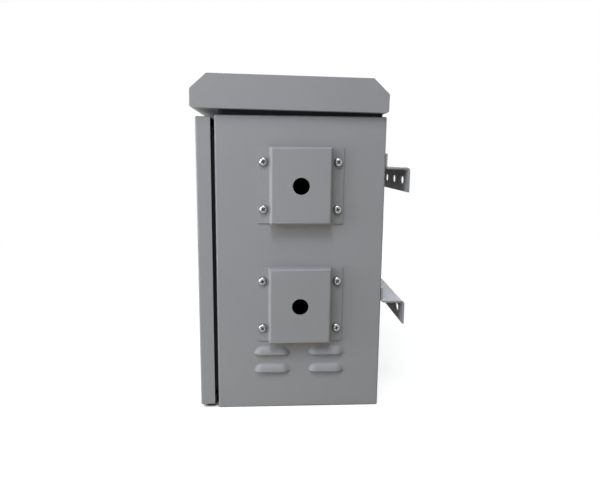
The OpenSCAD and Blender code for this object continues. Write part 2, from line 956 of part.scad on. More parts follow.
// Perforated screens inside the louvres
module vent_screens() {
    color(galvanised)
        for (place = [[inner_x - screen_t / 2, right_screen_z], [screen_t / 2 - inner_x, left_screen_z]])
            translate([place[0], 0, place[1]])
                prism_x(screen_t)
                    difference() {
                        square([screen_w, screen_h], center = true);
                        for (i = [0 : screen_cols - 1], j = [0 : screen_rows - 1])
                            translate([
                                (i - (screen_cols - 1) / 2) * screen_pitch,
                                (j - (screen_rows - 1) / 2) * screen_pitch
                            ])
                                circle(d = screen_hole_d);
                    }
}

// Clip-on rubber seal with a bulb, run round the rim's lip
module door_seal() {
    grip_back_y = lip_front_y + seal_grip;
    clip_half = seal_wall + sheet_t / 2;
    color(black_rubber)
        translate([0, 0, body_h / 2])
            mitred_frame(lip_mid_w, lip_mid_h, rim_w / 2)
                difference() {
                    union() {
                        translate([0, bulb_y])
                            circle(r = bulb_r);
                        translate([-clip_half, bulb_y])
                            square([2 * clip_half, grip_back_y - bulb_y]);
                    }
                    translate([-sheet_t / 2, lip_front_y])
                        square([sheet_t, seal_grip + over]);
                }
}

// Leaf of a hinge with its knuckle, from the hinge axis to one side of the gap
module hinge_leaf(width, towards, bore_r) {
    difference() {
        union() {
            translate([hinge_x, hinge_y, 0])
                cylinder(r = knuckle_r, h = knuckle_l);
            translate([-side_x - leaf_t, towards < 0 ? hinge_y - width : hinge_y, 0])
                cube([leaf_t, width, knuckle_l]);
        }
        translate([hinge_x, hinge_y, -over])
            cylinder(r = bore_r, h = knuckle_l + 2 * over);
    }
}

// Half of a lift-off hinge on the body, below the hinge's middle
module hinge_frame_leaf(z) {
    color(zinc)
        difference() {
            translate([0, 0, z - knuckle_l])
                hinge_leaf(frame_leaf_w, 1, pin_r + pin_grip_clear);
            at_frame_screws([z], -side_x + over)
                cylinder(r = small_hole_r, h = leaf_t + 2 * over);
        }
}

module upper_hinge_frame_leaf() {
    hinge_frame_leaf(hinge_zs[0]);
}

module lower_hinge_frame_leaf() {
    hinge_frame_leaf(hinge_zs[1]);
}

// Half of a lift-off hinge on the door, above the washer
module hinge_door_leaf(z) {
    color(zinc)
        difference() {
            translate([0, 0, z + hinge_washer_t + 2 * hinge_end_clear])
                hinge_leaf(door_leaf_w, -1, pin_r + pin_clear);
            at_door_screws([z], -side_x + over)
                cylinder(r = small_hole_r, h = leaf_t + 2 * over);
        }
}

module upper_hinge_door_leaf() {
    hinge_door_leaf(hinge_zs[0]);
}

module lower_hinge_door_leaf() {
    hinge_door_leaf(hinge_zs[1]);
}

// Pins held in the lower knuckles
module hinge_pins() {
    color(zinc)
        for (z = hinge_zs)
            translate([hinge_x, hinge_y, z - knuckle_l])
                cylinder(r = pin_r, h = 2 * knuckle_l);
}

// Washers that the door's knuckles turn on
module hinge_washers() {
    color(brass)
        for (z = hinge_zs)
            translate([hinge_x, hinge_y, z + hinge_end_clear])
                ring(knuckle_r, pin_r + pin_clear, hinge_washer_t);
}

// Screws of the body's hinge leaves
module hinge_frame_screws() {
    color(zinc)
        at_frame_screws(hinge_zs, -side_x - leaf_t)
            pan_screw(small_r, leaf_t + sheet_t + small_nut_h + small_r / 2, small_pan_d / 2, small_pan_h);
}

// Nuts inside the left wall
module hinge_frame_nuts() {
    color(zinc)
        at_frame_screws(hinge_zs, -inner_x + small_nut_h)
            hex_nut(small_af, small_nut_h, small_r + thread_clear);
}

// Door pan with folded edges
module door_panel() {
    color(paint)
        difference() {
            translate([0, door_back_y, door_mid_z])
                bent_box(body_w, 2 * door_depth, door_height, bend_r);
            translate([0, door_back_y, door_mid_z])
                bent_box(
                    body_w - 2 * sheet_t, 2 * (door_depth - sheet_t),
                    door_height - 2 * sheet_t, bend_r - sheet_t
                );
            translate([-body_w, door_back_y, -body_h])
                cube([2 * body_w, 2 * door_depth, 3 * body_h]);
            translate([lock_x, door_front_y, lock_z])
                rotate([90, 0, 0])
                    cylinder(r = barrel_r + bolt_clear, h = 4 * sheet_t, center = true);
            at_door_screws(hinge_zs, -inner_x + over)
                cylinder(r = small_hole_r, h = sheet_t + 2 * over);
        }
}

// Screws of the door's hinge leaves
module hinge_door_screws() {
    color(zinc)
        at_door_screws(hinge_zs, -side_x - leaf_t)
            pan_screw(small_r, leaf_t + sheet_t + small_nut_h + small_r / 2, small_pan_d / 2, small_pan_h);
}

// Nuts inside the door's left edge
module hinge_door_nuts() {
    color(zinc)
        at_door_screws(hinge_zs, -inner_x + small_nut_h)
            hex_nut(small_af, small_nut_h, small_r + thread_clear);
}

// The lock's axis: local +Z runs from the door's face to the inside
module lock_place(y) {
    translate([lock_x, y, lock_z])
        rotate([-90, 0, 0])
            children();
}

// Lock barrel with its round face outside the door
module lock_housing() {
    color(zinc)
        difference() {
            lock_place(door_front_y) {
                translate([0, 0, -lock_face_h])
                    rotate_extrude()
                        intersection() {
                            translate([0, lock_dome_r])
                                circle(r = lock_dome_r);
                            square([lock_face_r, lock_face_h]);
                        }
                cylinder(r = barrel_r, h = barrel_back_y - door_front_y);
            }
            lock_place(door_front_y - lock_face_h - over)
                cylinder(r = plug_r + plug_clear, h = body_d);
        }
}

// Nut that clamps the lock to the door
module lock_nut() {
    color(zinc)
        lock_place(door_inner_y)
            hex_nut(lock_nut_af, lock_nut_h, barrel_r + thread_clear);
}

// Turning plug with a key slot in front and a square at the rear
module lock_plug() {
    color(galvanised)
        difference() {
            union() {
                lock_place(door_front_y - lock_face_h)
                    cylinder(r = plug_r, h = barrel_back_y - door_front_y + lock_face_h);
                lock_place(barrel_back_y)
                    translate([-plug_square / 2, -plug_square / 2, 0])
                        cube([plug_square, plug_square, cam_back_y - barrel_back_y]);
            }
            lock_place(door_front_y - lock_face_h - over) {
                translate([-key_slot_w / 2, -key_slot_l / 2, 0])
                    cube([key_slot_w, key_slot_l, key_slot_depth]);
                cylinder(r = key_slot_w, h = key_slot_depth);
            }
            lock_place(cam_front_y - cam_t)
                cylinder(r = small_r + thread_clear, h = body_d);
        }
}

// Cam, shown unlocked: it stands upright and turns behind the rim
module lock_cam() {
    square_hole = plug_square + 2 * plug_clear;
    color(zinc)
        difference() {
            translate([lock_x, (cam_front_y + cam_back_y) / 2, lock_z])
                prism_y(cam_t) {
                    circle(d = cam_w);
                    translate([-cam_w / 2, 0])
                        square([cam_w, cam_reach - cam_w / 2]);
                    translate([0, cam_reach - cam_w / 2])
                        circle(d = cam_w);
                }
            translate([lock_x, cam_front_y, lock_z])
                cube([square_hole, 4 * cam_t, square_hole], center = true);
        }
}

// Screw and washer that hold the cam on the plug
module cam_screw() {
    color(zinc)
        lock_place(cam_back_y) {
            cylinder(r = plug_r, h = washer_t);
            translate([0, 0, washer_t])
                pan_screw(small_r, cam_t + washer_t, small_pan_d / 2, small_pan_h);
        }
}

body_shell();
hood();
hood_seal();
hood_bolts();
hood_weld_nuts();
upper_cable_cover();
lower_cable_cover();
upper_cover_screws();
lower_cover_screws();
cover_weld_nuts();
upper_bracket();
lower_bracket();
bracket_bolts();
bracket_washers();
bracket_nuts();
mounting_plate();
plate_standoffs();
plate_nuts();
earth_stud();
earth_nuts();
vent_screens();
door_seal();
upper_hinge_frame_leaf();
lower_hinge_frame_leaf();
hinge_pins();
hinge_washers();
hinge_frame_screws();
hinge_frame_nuts();
door_panel();
upper_hinge_door_leaf();
lower_hinge_door_leaf();
hinge_door_screws();
hinge_door_nuts();
lock_housing();
lock_nut();
lock_plug();
lock_cam();
cam_screw();
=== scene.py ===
"""Looks of a roadside utility cabinet: powder-coated sheet steel, plated fasteners and rubber seals."""
import math

import bmesh
import bpy
from mathutils import Matrix, Vector


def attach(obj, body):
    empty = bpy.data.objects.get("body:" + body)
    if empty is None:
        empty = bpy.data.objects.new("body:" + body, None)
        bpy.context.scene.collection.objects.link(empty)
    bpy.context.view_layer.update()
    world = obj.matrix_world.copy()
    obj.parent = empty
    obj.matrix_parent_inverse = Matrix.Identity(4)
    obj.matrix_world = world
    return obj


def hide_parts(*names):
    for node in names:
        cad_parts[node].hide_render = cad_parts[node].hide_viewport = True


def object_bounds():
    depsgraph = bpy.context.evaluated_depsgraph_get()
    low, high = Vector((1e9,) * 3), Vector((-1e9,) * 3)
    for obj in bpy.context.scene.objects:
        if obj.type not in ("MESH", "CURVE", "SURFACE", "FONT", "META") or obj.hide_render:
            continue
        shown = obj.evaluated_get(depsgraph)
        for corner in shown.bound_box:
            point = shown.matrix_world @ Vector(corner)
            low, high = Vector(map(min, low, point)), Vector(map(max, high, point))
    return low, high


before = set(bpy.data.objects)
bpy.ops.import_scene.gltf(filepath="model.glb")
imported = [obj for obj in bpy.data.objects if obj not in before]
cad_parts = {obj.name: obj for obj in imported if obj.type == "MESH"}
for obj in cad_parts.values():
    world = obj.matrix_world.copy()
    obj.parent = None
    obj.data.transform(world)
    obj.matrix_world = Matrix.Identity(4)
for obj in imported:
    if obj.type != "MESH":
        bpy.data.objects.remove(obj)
cad_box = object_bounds()

MM = 0.001
TAU = 2 * math.pi

# Camera: the photograph's place, angles and focal length, for an image of 600 by 479 pixels
IMAGE_WIDTH_PX = 600
FOCAL_PX = 504.5
SENSOR_MM = 36.0
CLIP_START = 0.01
CAMERA_AT = Vector((0.8162, -0.0391, 0.3446))
PITCH_DOWN = math.radians(9.05)
YAW_TO_REAR = math.radians(3.33)
ROLL = math.radians(0.53)

# Light levels: what the world gives to surfaces, and what floor and world show to the camera
WORLD_LEVEL = 0.2
WORLD_TINT = (1.0, 0.985, 0.955, 1)
DAYLIGHT = (0.91, 0.95, 1.0)
WHITE_LEVEL = 1.0
FLOOR_ALBEDO = (0.47, 0.41, 0.31, 1)
FLOOR_SHADE = 0.35
FLOOR_GLOW = 0.76
FLOOR_REACH = 30.0
FLOOR_NEAR = 0.7
FLOOR_FAR = 1.6

# Floor near the object, painted shade where parts crowd it: how far cover counts, and the open shares at
# which it is black and at full level
CROWD_REACH = 0.05
CROWDED = (0.15, 0.45)

# Lamps: place, target, width and height, and power in watts
MIDDLE = (cad_box[0] + cad_box[1]) / 2
LAMPS = {
    "key": ((1.05, -1.2, 1.0), MIDDLE, (1.0, 1.0), 13.2),
    "top": ((1.3, -0.26, 2.3), MIDDLE, (1.05, 1.05), 35),
    "reflector": ((0.3, -1.3, 0.26), (0.1, -0.13, 0.3), (1.4, 0.45), 13),
    "rear_fill": ((-1.5, 1.4, 0.6), MIDDLE, (2.4, 0.9), 38),
}

# Fasteners: sizes as in the frame, shares for threads and chamfers, and the turns of the screws' heads
SIDES = 36
ANGLES = [TAU * i / SIDES for i in range(SIDES)]
HEX_FLATS = 10 * MM
SMALL_FLATS = 7 * MM
HEAD_HEIGHT = 4 * MM
THREAD_R = 3 * MM
THREAD_PITCH = 1 * MM
SMALL_THREAD_R = 2 * MM
SMALL_PITCH = 0.7 * MM
PAN_HEIGHT = 4.6 * MM
SMALL_PAN_HEIGHT = 2.4 * MM
FLANGE_HEIGHT = 1.2 * MM
FLANGE_RIM_SHARE = 0.7
FLANGE_MARGIN = 0.5 * MM
COLLAR_R = 4.2 * MM
COLLAR_HEIGHT = 1.2 * MM
SPACER_LENGTH = 18 * MM
RINGS_PER_PITCH = 6
THREAD_DEPTH_SHARE = 0.54
THREAD_START_SHARE = 0.25
CHAMFER_SHARE = 0.95
CHAMFER_ANGLE = math.radians(30)
COUNTERSINK = 1.14
SCREW_TURNS = [math.radians(a) for a in (33, 19, 12, 47)]

# Pan heads: power and rings of the dome, and the cross recess and its painted shade as shares of the
# head's size
DOME_POWER = 2.6
DOME_RINGS = 14
DOME_SPACING = 0.8
DOME_TIP = 0.04
CROSS_REACH = 0.66
CROSS_WIDTH = 0.34
CROSS_TOP = 1.5
CROSS_FLOOR = 0.35
CROSS_FLOOR_REACH = 0.45
CROSS_FLOOR_WIDTH = 0.6
RECESS_SHADE_FROM = 0.3
RECESS_SHADE_BELOW_DOME = 0.06

# Louvres, as in the frame: wall, size, middles along the depth, and heights of the open edges on the right
# wall (1) and on the left (-1)
WALL_X = 150 * MM
LOUVRE_LENGTH = 48 * MM
LOUVRE_HEIGHT = 10.5 * MM
LOUVRE_OUT = 4.8 * MM
LOUVRE_YS = (-37.5 * MM, 37.5 * MM)
LOUVRE_ZS = {1: (53 * MM, 78 * MM), -1: (330 * MM, 355 * MM)}

# Bend at a louvre's root: radius, how deep it and its back are sunk into the sheet, the angle at which it
# ends over the open edge, and its steps across and around
ROOT_R = 5 * MM
ROOT_SINK = 0.03 * MM
ROOT_BACK = 0.4 * MM
ROOT_END = math.radians(1)
ROOT_STEPS = 6
ROOT_TURNS = 10

# Rounding of sheet edges and castings: radius and segments, the distance within which points are one, and
# the angles up to which faces are one, from which edges are eased and up to which shading is smooth
EDGE_R = 0.35 * MM
EDGE_SEGMENTS = 2
WELD = 1e-6
FLAT = math.radians(0.4)
CORNER = math.radians(50)
SMOOTH = math.radians(32)


# Materials

class Finish:
    """A node material with the object's own coordinates at hand."""

    def __init__(self, name, **constants):
        self.material = bpy.data.materials.new(name)
        self.material.use_nodes = True
        self.tree = self.material.node_tree
        self.shader = self.tree.nodes["Principled BSDF"]
        self.coords = self.node("ShaderNodeTexCoord").outputs["Object"]
        for socket, value in constants.items():
            self.shader.inputs[socket.replace("_", " ")].default_value = value

    def node(self, kind, inputs=None, **settings):
        made = self.tree.nodes.new(kind)
        for name, value in settings.items():
            setattr(made, name, value)
        for name, value in (inputs or {}).items():
            if isinstance(value, bpy.types.NodeSocket):
                self.tree.links.new(value, made.inputs[name])
            else:
                made.inputs[name].default_value = value
        return made

    def noise(self, scale, detail=3.0, roughness=0.55, stretch=(1, 1, 1)):
        """Noise whose features are about 1 / scale metres long, drawn out along the axes by stretch."""
        mapped = self.node("ShaderNodeMapping", {"Vector": self.coords, "Scale": stretch})
        made = self.node(
            "ShaderNodeTexNoise",
            {"Vector": mapped.outputs[0], "Scale": scale, "Detail": detail, "Roughness": roughness},
        )
        return made.outputs["Fac"]

    def cells(self, scale, output="Color"):
        made = self.node("ShaderNodeTexVoronoi", {"Vector": self.coords, "Scale": scale})
        return made.outputs[output]

    def ramp(self, factor, stops):
        """Colours spread over a factor: stops are (position, colour) pairs."""
        made = self.node("ShaderNodeValToRGB", {"Fac": factor})
        elements = made.color_ramp.elements
        while len(elements) < len(stops):
            elements.new(0.5)
        for element, (position, colour) in zip(elements, stops):
            element.position = position
            element.color = (*colour, 1)
        return made.outputs["Color"]

    def spread(self, factor, low, high, start=0.3, end=0.7):
        """A number from low to high as the factor goes from start to end."""
        made = self.node(
            "ShaderNodeMapRange",
            {"Value": factor, "From Min": start, "From Max": end, "To Min": low, "To Max": high},
        )
        return made.outputs["Result"]

    def mixed(self, factor, a, b, blend="MIX"):
        made = self.node("ShaderNodeMix", data_type="RGBA", blend_type=blend)
        # The node's sockets 6, 7 and output 2 are those of its colours
        for index, value in ((0, factor), (6, a), (7, b)):
            if isinstance(value, bpy.types.NodeSocket):
                self.tree.links.new(value, made.inputs[index])
            else:
                made.inputs[index].default_value = value
        return made.outputs[2]

    def bump(self, *layers):
        """Stacks (height, depth in metres) layers and feeds the shader's normal."""
        normal = None
        for height, depth in layers:
            inputs = {"Height": height, "Distance": depth, "Strength": 1.0}
            if normal is not None:
                inputs["Normal"] = normal
            normal = self.node("ShaderNodeBump", inputs).outputs["Normal"]
        self.feed("Normal", normal)

    def feed(self, socket, value):
        self.tree.links.new(value, self.shader.inputs[socket])


def grey_paint():
    """Semi-matt grey powder coat: orange peel, faint cloudiness and fine specks."""
    f = Finish("powder_coat", Metallic=0.0, Specular_IOR_Level=0.3)
    clouds = f.ramp(f.noise(9, 2), [(0.3, (0.264, 0.269, 0.284)), (0.7, (0.280, 0.285, 0.300))])
    grain = f.ramp(f.noise(1400, 2, 0.7), [(0.3, (0.94, 0.94, 0.94)), (0.7, (1.0, 1.0, 1.0))])
    specks = f.ramp(f.noise(700, 0), [(0.83, (1, 1, 1)), (0.86, (0.8, 0.8, 0.81))])
    toned = f.mixed(1.0, clouds, grain, "MULTIPLY")
    f.feed("Base Color", f.mixed(1.0, toned, specks, "MULTIPLY"))
    f.feed("Roughness", f.spread(f.noise(160, 3), 0.48, 0.6))
    f.bump((f.noise(330, 2), 0.00007), (f.noise(1100, 2), 0.00003))
    return f.material


def bright_zinc():
    """Clear-passivated zinc plate: silver with a faint blue and yellow bloom and hairlines."""
    f = Finish("zinc_plate", Metallic=1.0)
    bloom = f.ramp(
        f.noise(140, 2),
        [(0.32, (0.33, 0.35, 0.375)), (0.5, (0.37, 0.38, 0.39)), (0.68, (0.39, 0.38, 0.355))],
    )
    stains = f.ramp(f.noise(60, 4), [(0.35, (0.86, 0.86, 0.86)), (0.6, (1, 1, 1))])
    f.feed("Base Color", f.mixed(1.0, bloom, stains, "MULTIPLY"))
    f.feed("Roughness", f.spread(f.noise(500, 3), 0.24, 0.36))
    f.bump((f.noise(900, 3), 0.00002))
    return f.material


def spangled_zinc():
    """Hot-dip galvanised sheet with crystal spangles."""
    f = Finish("galvanised_sheet", Metallic=0.9)
    crystals = f.cells(170)
    tint = f.ramp(crystals, [(0.0, (0.52, 0.54, 0.56)), (1.0, (0.66, 0.68, 0.70))])
    dull = f.ramp(f.noise(35, 4), [(0.3, (0.86, 0.86, 0.87)), (0.7, (1, 1, 1))])
    f.feed("Base Color", f.mixed(1.0, tint, dull, "MULTIPLY"))
    f.feed("Roughness", f.spread(crystals, 0.34, 0.52, 0.0, 1.0))
    f.bump((f.noise(700, 3), 0.00003))
    return f.material


def black_rubber():
    """Extruded rubber: matt black with fine lengthwise drag marks and a dusting of bloom."""
    f = Finish("black_rubber", Specular_IOR_Level=0.4)
    bloom = f.noise(120, 4)
    f.feed("Base Color", f.ramp(bloom, [(0.35, (0.016, 0.016, 0.017)), (0.75, (0.034, 0.034, 0.036))]))
    f.feed("Roughness", f.spread(bloom, 0.55, 0.75))
    f.bump((f.noise(1500, 2), 0.00004))
    return f.material


def cell_rubber_gap_shade():
    """Closed-cell foam strip: black, with an open, pitted skin, and darker than foam is, as painted shade
    for the deep gap under the hood.
    """
    f = Finish("cell_rubber_gap_shade", Specular_IOR_Level=0.2)
    pores = f.cells(900, "Distance")
    f.feed("Base Color", f.ramp(pores, [(0.05, (0.004, 0.004, 0.004)), (0.45, (0.012, 0.012, 0.013))]))
    f.feed("Roughness", f.spread(pores, 0.95, 0.8, 0.0, 0.5))
    f.bump((pores, 0.0002))
    return f.material


def recess_painted_shade():
    """Painted shade at the bottom of a screw's recess: dark, dull, half-metallic, in patches."""
    f = Finish("recess_painted_shade", Metallic=0.6)
    shade_patches = f.noise(2200, 3)
    f.feed("Base Color", f.ramp(shade_patches, [(0.3, (0.05, 0.05, 0.051)), (0.7, (0.13, 0.13, 0.13))]))
    f.feed("Roughness", f.spread(shade_patches, 0.45, 0.7))
    return f.material


def dull_brass():
    """Brass with a light brown tarnish."""
    f = Finish("brass", Metallic=1.0)
    tarnish = f.noise(160, 4)
    f.feed("Base Color", f.ramp(tarnish, [(0.3, (0.46, 0.33, 0.15)), (0.65, (0.74, 0.57, 0.28))]))
    f.feed("Roughness", f.spread(tarnish, 0.5, 0.28))
    f.bump((f.noise(900, 3), 0.00003))
    return f.material


FINISHES = {
    "grey_paint": grey_paint(),
    "zinc": bright_zinc(),
    "galvanised": spangled_zinc(),
    "black_rubber": black_rubber(),
    "brass": dull_brass(),
}
FOAM_AND_GAP_SHADE = cell_rubber_gap_shade()
RECESS_SHADE = recess_painted_shade()


def slot_of(node):
    """The record's material slot that a CAD node was packed with."""
    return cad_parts[node].data.materials[0].name.split(".")[0]


SLOTS = {node: slot_of(node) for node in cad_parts}

for node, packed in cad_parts.items():
    # The hood's seal gets the foam that is darkened into painted shade of the gap under the hood
    packed.data.materials[0] = FOAM_AND_GAP_SHADE if node == "hood_seal" else FINISHES[SLOTS[node]]


# Mesh building

def loft(rings, closed=False):
    """Vertices and faces of a skin over equal rings of points, capped unless the last meets the first."""
    vertices = [point for ring in rings for point in ring]
    faces = []
    count, sides = len(rings), len(rings[0])
    for i in range(count if closed else count - 1):
        here, there = i * sides, (i + 1) % count * sides
        for j in range(sides):
            k = (j + 1) % sides
            faces.append((here + j, here + k, there + k, there + j))
    if not closed:
        faces.append(tuple(reversed(range(sides))))
        faces.append(tuple(range((count - 1) * sides, count * sides)))
    return vertices, faces


def circle(radius, z):
    return [Vector((radius * math.cos(a), radius * math.sin(a), z)) for a in ANGLES]


def hexagon(flats, z, chamfer=0):
    """Hexagon with corners along X; chamfer 1 or -1 draws its corners down or up."""
    points = []
    for a in ANGLES:
        radius = flats / 2 / math.cos(a % (TAU / 6) - TAU / 12)
        drawn = max(0.0, radius - CHAMFER_SHARE * flats / 2) * math.tan(CHAMFER_ANGLE)
        points.append(Vector((radius * math.cos(a), radius * math.sin(a), z - chamfer * drawn)))
    return points


def thread(radius, top, bottom, pitch):
    """Rings of a right-hand thread from top down to bottom, with a chamfered end."""
    depth = THREAD_DEPTH_SHARE * pitch
    count = max(2, round((top - bottom) / pitch * RINGS_PER_PITCH))
    rings = []
    for i in range(count + 1):
        z = top + (bottom - top) * i / count
        end = max(0.0, depth - (z - bottom))
        ring = []
        for a in ANGLES:
            groove = abs(2 * ((z / pitch - a / TAU) % 1) - 1)
            r = min(radius - depth * groove, radius - end)
            ring.append(Vector((r * math.cos(a), r * math.sin(a), z)))
        rings.append(ring)
    return rings


def hex_nut(flats, height, bore, flange=0.0):
    """Nut with chamfered corners and countersunk bore, on a round flange of the given radius if any."""
    flat_r = CHAMFER_SHARE * flats / 2
    wide = COUNTERSINK * bore
    if flange:
        rim = circle(flange, FLANGE_RIM_SHARE * FLANGE_HEIGHT)
        foot = [circle(flange, 0), rim, hexagon(flats, FLANGE_HEIGHT)]
    else:
        foot = [circle(flat_r, 0), hexagon(flats, 0, -1)]
    rings = [
        circle(bore, wide - bore), circle(wide, 0), *foot,
        hexagon(flats, height, 1), circle(flat_r, height),
        circle(wide, height), circle(bore, height - wide + bore),
    ]
    return loft(rings, closed=True)


def hex_bolt(flats, head, radius, length, pitch):
    """Bolt whose head stands over z = 0 and whose thread runs down from it."""
    flat_r = CHAMFER_SHARE * flats / 2
    rings = [circle(flat_r, head), hexagon(flats, head, 1), hexagon(flats, 0), circle(radius, 0)]
    rings += thread(radius, -THREAD_START_SHARE * pitch, -length, pitch)
    return loft(list(reversed(rings)))


def stud(radius, length, pitch, foot):
    """Threaded stud over the rings of its foot, the last of them at the height where its thread starts."""
    start = foot[-1][0].z
    rings = thread(radius, -THREAD_START_SHARE * pitch, start - length, pitch)
    return loft(foot + [[Vector((p.x, p.y, start - p.z)) for p in ring] for ring in rings])


def cross_cutter(reach, width, top, bottom):
    """Tapered cross that is driven into a screw's head from above."""
    vertices = []
    half = width / 2
    ends = ((bottom, CROSS_FLOOR_REACH * reach, CROSS_FLOOR_WIDTH * half), (top, reach, half))
    for z, long, wide in ends:
        for turn in range(4):
            a = turn * TAU / 4
            for x, y in ((wide, -wide), (long, -wide), (long, wide)):
                vertices.append((x * math.cos(a) - y * math.sin(a), x * math.sin(a) + y * math.cos(a), z))
    count = len(vertices) // 2
    faces = [(i, (i + 1) % count, (i + 1) % count + count, i + count) for i in range(count)]
    return vertices, [tuple(reversed(range(count))), *faces, tuple(range(count, 2 * count))]


def new_object(name, vertices, faces):
    mesh = bpy.data.meshes.new(name)
    mesh.from_pydata([tuple(v) for v in vertices], [], faces)
    mesh.update()
    made = bpy.data.objects.new(name, mesh)
    bpy.context.scene.collection.objects.link(made)
    return made


def carved(shape, cutter):
    """Vertices and faces of a shape with the cutter taken out of it."""
    body, tool = new_object("carved", *shape), new_object("cutter", *cutter)
    cut = body.modifiers.new("cut", "BOOLEAN")
    cut.object, cut.solver = tool, "EXACT"
    mesh = body.evaluated_get(bpy.context.evaluated_depsgraph_get()).to_mesh()
    result = [v.co.copy() for v in mesh.vertices], [tuple(p.vertices) for p in mesh.polygons]
    bpy.data.objects.remove(body)
    bpy.data.objects.remove(tool)
    return result


def pan_screw(radius, height, thread_r, length, pitch):
    """Domed head with a cross recess on z = 0, its thread, and the numbers of the recess's faces."""
    def dome(r):
        return height * (1 - min(1, r / radius) ** DOME_POWER) ** (1 / DOME_POWER)

    rings = list(reversed(thread(thread_r, -THREAD_START_SHARE * pitch, -length, pitch)))
    rings += [circle(thread_r, 0), circle(radius, 0)]
    for i in range(1, DOME_RINGS):
        r = radius * math.cos(TAU / 4 * i / DOME_RINGS) ** DOME_SPACING
        rings.append(circle(r, dome(r)))
    rings.append(circle(DOME_TIP * radius, height))
    cutter = cross_cutter(
        CROSS_REACH * radius, CROSS_WIDTH * radius, CROSS_TOP * height, CROSS_FLOOR * height,
    )
    points, polygons = carved(loft(rings), cutter)
    # Faces down in the recess are marked for the dark material that paints shade into it
    recess = set()
    for number, polygon in enumerate(polygons):
        middle = sum((points[i] for i in polygon), Vector()) / len(polygon)
        if RECESS_SHADE_FROM * height < middle.z < dome(middle.xy.length) - RECESS_SHADE_BELOW_DOME * height:
            recess.add(number)
    return points, polygons, recess


def louvre_root(wall, y, z):
    """Hollow bend around a louvre of the right (1) or left (-1) wall, sunk a little into the sheet."""
    # The bend's circle touches the wall and the louvre's bulge from outside
    bulge_r = (LOUVRE_HEIGHT ** 2 + LOUVRE_OUT ** 2) / (2 * LOUVRE_OUT)
    axis_depth = bulge_r - LOUVRE_OUT
    reach = math.sqrt((bulge_r + ROOT_R) ** 2 - (axis_depth + ROOT_R) ** 2)
    start, end = -TAU / 4, math.atan2(-axis_depth - ROOT_R, -reach)
    section = [(LOUVRE_HEIGHT, -ROOT_BACK)]
    for i in range(ROOT_STEPS + 1):
        a = start + (end - start) * i / ROOT_STEPS
        section.append((reach + ROOT_R * math.cos(a), ROOT_R * (1 + math.sin(a)) - ROOT_SINK))
    half_straight = LOUVRE_LENGTH / 2 - LOUVRE_HEIGHT
    turns = [ROOT_END + (TAU / 4 - ROOT_END) * i / ROOT_TURNS for i in range(ROOT_TURNS + 1)]
    path = [(half_straight, a) for a in turns] + [(-half_straight, TAU / 2 - a) for a in reversed(turns)]
    rings = []
    for middle, a in path:
        rings.append([
            Vector((wall * (WALL_X + out), y + middle + away * math.cos(a), z + away * math.sin(a)))
            for away, out in section[::-wall]
        ])
    return loft(rings)


def louvre_roots():
    """The bends of all louvres in one shape."""
    vertices, faces = [], []
    for wall, heights in LOUVRE_ZS.items():
        for y in LOUVRE_YS:
            for z in heights:
                points, polygons = louvre_root(wall, y, z)
                faces += [tuple(len(vertices) + i for i in polygon) for polygon in polygons]
                vertices += points
    return vertices, faces


def weld(made, shape):
    """Joins a shape to an object's mesh, which is marked as changed first so that the modifier sees it."""
    made.data.update()
    made.data.update_tag()
    tool = new_object("added", *shape)
    joint = made.modifiers.new("joint", "BOOLEAN")
    joint.object, joint.solver, joint.operation = tool, "MANIFOLD", "UNION"
    mesh = bpy.data.meshes.new_from_object(made.evaluated_get(bpy.context.evaluated_depsgraph_get()))
    made.modifiers.remove(joint)
    bpy.data.objects.remove(tool)
    grid = bmesh.new()
    grid.from_mesh(mesh)
    bmesh.ops.remove_doubles(grid, verts=grid.verts, dist=WELD)
    bmesh.ops.dissolve_degenerate(grid, edges=grid.edges, dist=WELD)
    grid.to_mesh(mesh)
    grid.free()
    made.data = mesh


def islands(node):
    """Boxes of a CAD node's separate solids, as (lowest corner, highest corner) pairs."""
    grid = bmesh.new()
    grid.from_mesh(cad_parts[node].data)
    bmesh.ops.remove_doubles(grid, verts=grid.verts, dist=WELD)
    left = set(grid.verts)
    boxes = []
    while left:
        queue = [left.pop()]
        points = []
        while queue:
            vertex = queue.pop()
            points.append(vertex.co.copy())
            for edge in vertex.link_edges:
                other = edge.other_vert(vertex)
                if other in left:
                    left.remove(other)
                    queue.append(other)
        low = Vector(min(p[i] for p in points) for i in range(3))
        high = Vector(max(p[i] for p in points) for i in range(3))
        boxes.append((low, high))
    grid.free()
    return sorted(boxes, key=lambda box: tuple(round(c, 5) for c in box[0]))


def length_along(box, axis):
    return (box[1] - box[0]).dot(Vector(abs(c) for c in axis))


def seat(box, axis, end=0):
    """Frame at a solid's end: local Z along the axis, local X along a hexagon's corners."""
    z = Vector(axis)
    x = Vector((0, 0, 1)) if abs(z.x) > 0.5 else Vector((1, 0, 0))
    middle = (box[0] + box[1]) / 2
    half = length_along(box, axis) / 2
    origin = middle + z * half * (1 if end else -1)
    return Matrix.Translation(origin) @ Matrix((x, z.cross(x), z)).transposed().to_4x4()


def finished(made, body, node):
    """Smooth shading up to sharp corners, and the node's body and place for its new piece, whose node is
    hidden.
    """
    made.data.shade_smooth()
    made.data.set_sharp_from_angle(angle=SMOOTH)
    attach(made, body)
    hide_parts(node)


def piece(name, body, node, shapes):
    """One object from (shape, place) pairs, standing for a CAD node; a shape may name its faces that get
    painted shade.
    """
    vertices, faces, painted_shade_faces = [], [], set()
    for (points, polygons, *marked), place in shapes:
        start = len(vertices)
        painted_shade_faces.update(len(faces) + number for numbers in marked for number in numbers)
        vertices += [place @ Vector(p) for p in points]
        faces += [tuple(start + i for i in polygon) for polygon in polygons]
    made = new_object(name, vertices, faces)
    made.data.materials.append(FINISHES[SLOTS[node]])
    # Marked faces get the dark material that paints shade into the screws' recesses
    if painted_shade_faces:
        made.data.materials.append(RECESS_SHADE)
        for number in painted_shade_faces:
            made.data.polygons[number].material_index = 1
    finished(made, body, node)


